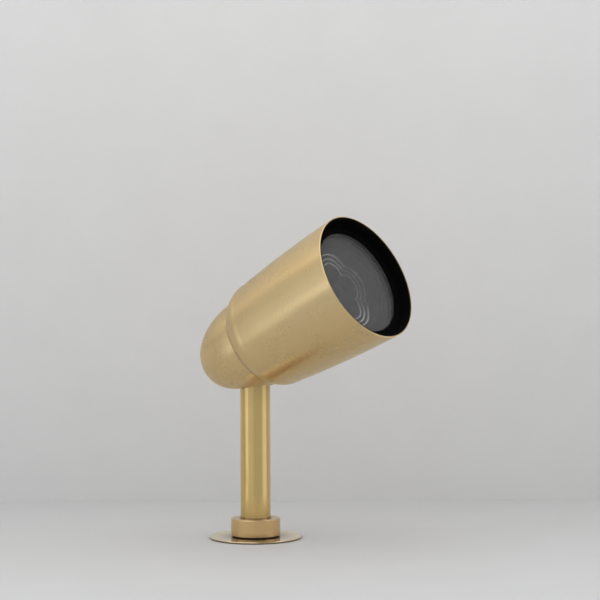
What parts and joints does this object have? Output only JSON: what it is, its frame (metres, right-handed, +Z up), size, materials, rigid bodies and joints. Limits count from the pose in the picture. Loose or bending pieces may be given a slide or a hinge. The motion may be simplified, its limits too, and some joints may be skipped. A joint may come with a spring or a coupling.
{
  "type": "underwater pond light",
  "caption": "Brass underwater pond light: tapered spotlight head that tilts on a slotted rear cover over a short swivelling tube stem with a collar and a round foot disc.",
  "frame": {"origin": "centre of the foot disc's underside, on the stem's axis", "axes": "+Z up along the stem, +X the way the head points, +Y to its left"},
  "size_m": [0.1139, 0.0634, 0.1585],
  "materials": {
    "brass_shell": "satin brushed brass, lathe-brushed round the axis",
    "brass_stem": "bright drawn brass tube",
    "brass_collar": "turned satin brass",
    "brass_disc": "satin brass sheet",
    "brass_plain": "as-turned brass",
    "black_liner": "deep black matt",
    "window_glass": "toughened clear glass",
    "lamp_glass": "clear lamp glass",
    "lamp_dish": "black moulded lamp body with five stepped cups",
    "black_rubber": "matt black rubber",
    "black_cable": "black rubber cable sheath",
    "steel_plain": "plain stainless steel",
    "steel_dark": "dull stainless steel",
    "ceramic": "white glazed ceramic",
    "white_nylon": "natural nylon",
    "wire_core": "insulated copper core"
  },
  "bodies": {
    "foot": {"base_disc": "brass_disc", "foot_gasket": "black_rubber", "foot_collar": "brass_collar", "collar_grub_screw": "steel_plain", "collar_o_ring": "black_rubber"},
    "stem": {"stem_tube": "brass_stem", "stem_knuckle": "brass_plain", "knuckle_pins": "steel_plain", "stem_grommet": "black_rubber", "stem_cable": "black_cable", "pivot_screws": "steel_plain", "friction_washers": "white_nylon"},
    "head": {"front_hood": "brass_shell", "rear_cover": "brass_shell", "glare_baffle": "black_liner", "lens": "window_glass", "lens_gasket": "black_rubber", "lamp_capsule": "brass_plain", "capsule_o_ring": "black_rubber", "lamp_reflector": "lamp_dish", "lamp_front_glass": "lamp_glass", "lamp_emitters": "lamp_glass", "lamp_pins": "steel_plain", "lamp_holder": "ceramic", "holder_screws": "steel_plain", "holder_spacers": "white_nylon", "lead_wires": "wire_core", "cable_gland": "brass_plain", "gland_seal": "black_rubber", "gland_nut": "brass_plain", "head_cable": "black_cable", "yoke_bracket": "steel_dark", "yoke_screws": "steel_plain"}
  },
  "joints": [
    {"name": "stem_swivel", "type": "hinge", "parent": "foot", "child": "stem", "pos_m": [0, 0, 0], "axis": [0, 0, 1], "range_deg": [-170, 170]},
    {"name": "head_tilt", "type": "hinge", "parent": "stem", "child": "head", "pos_m": [0, 0, 0.0974], "axis": [0, -1, 0], "range_deg": [-6, 65]}
  ]
}
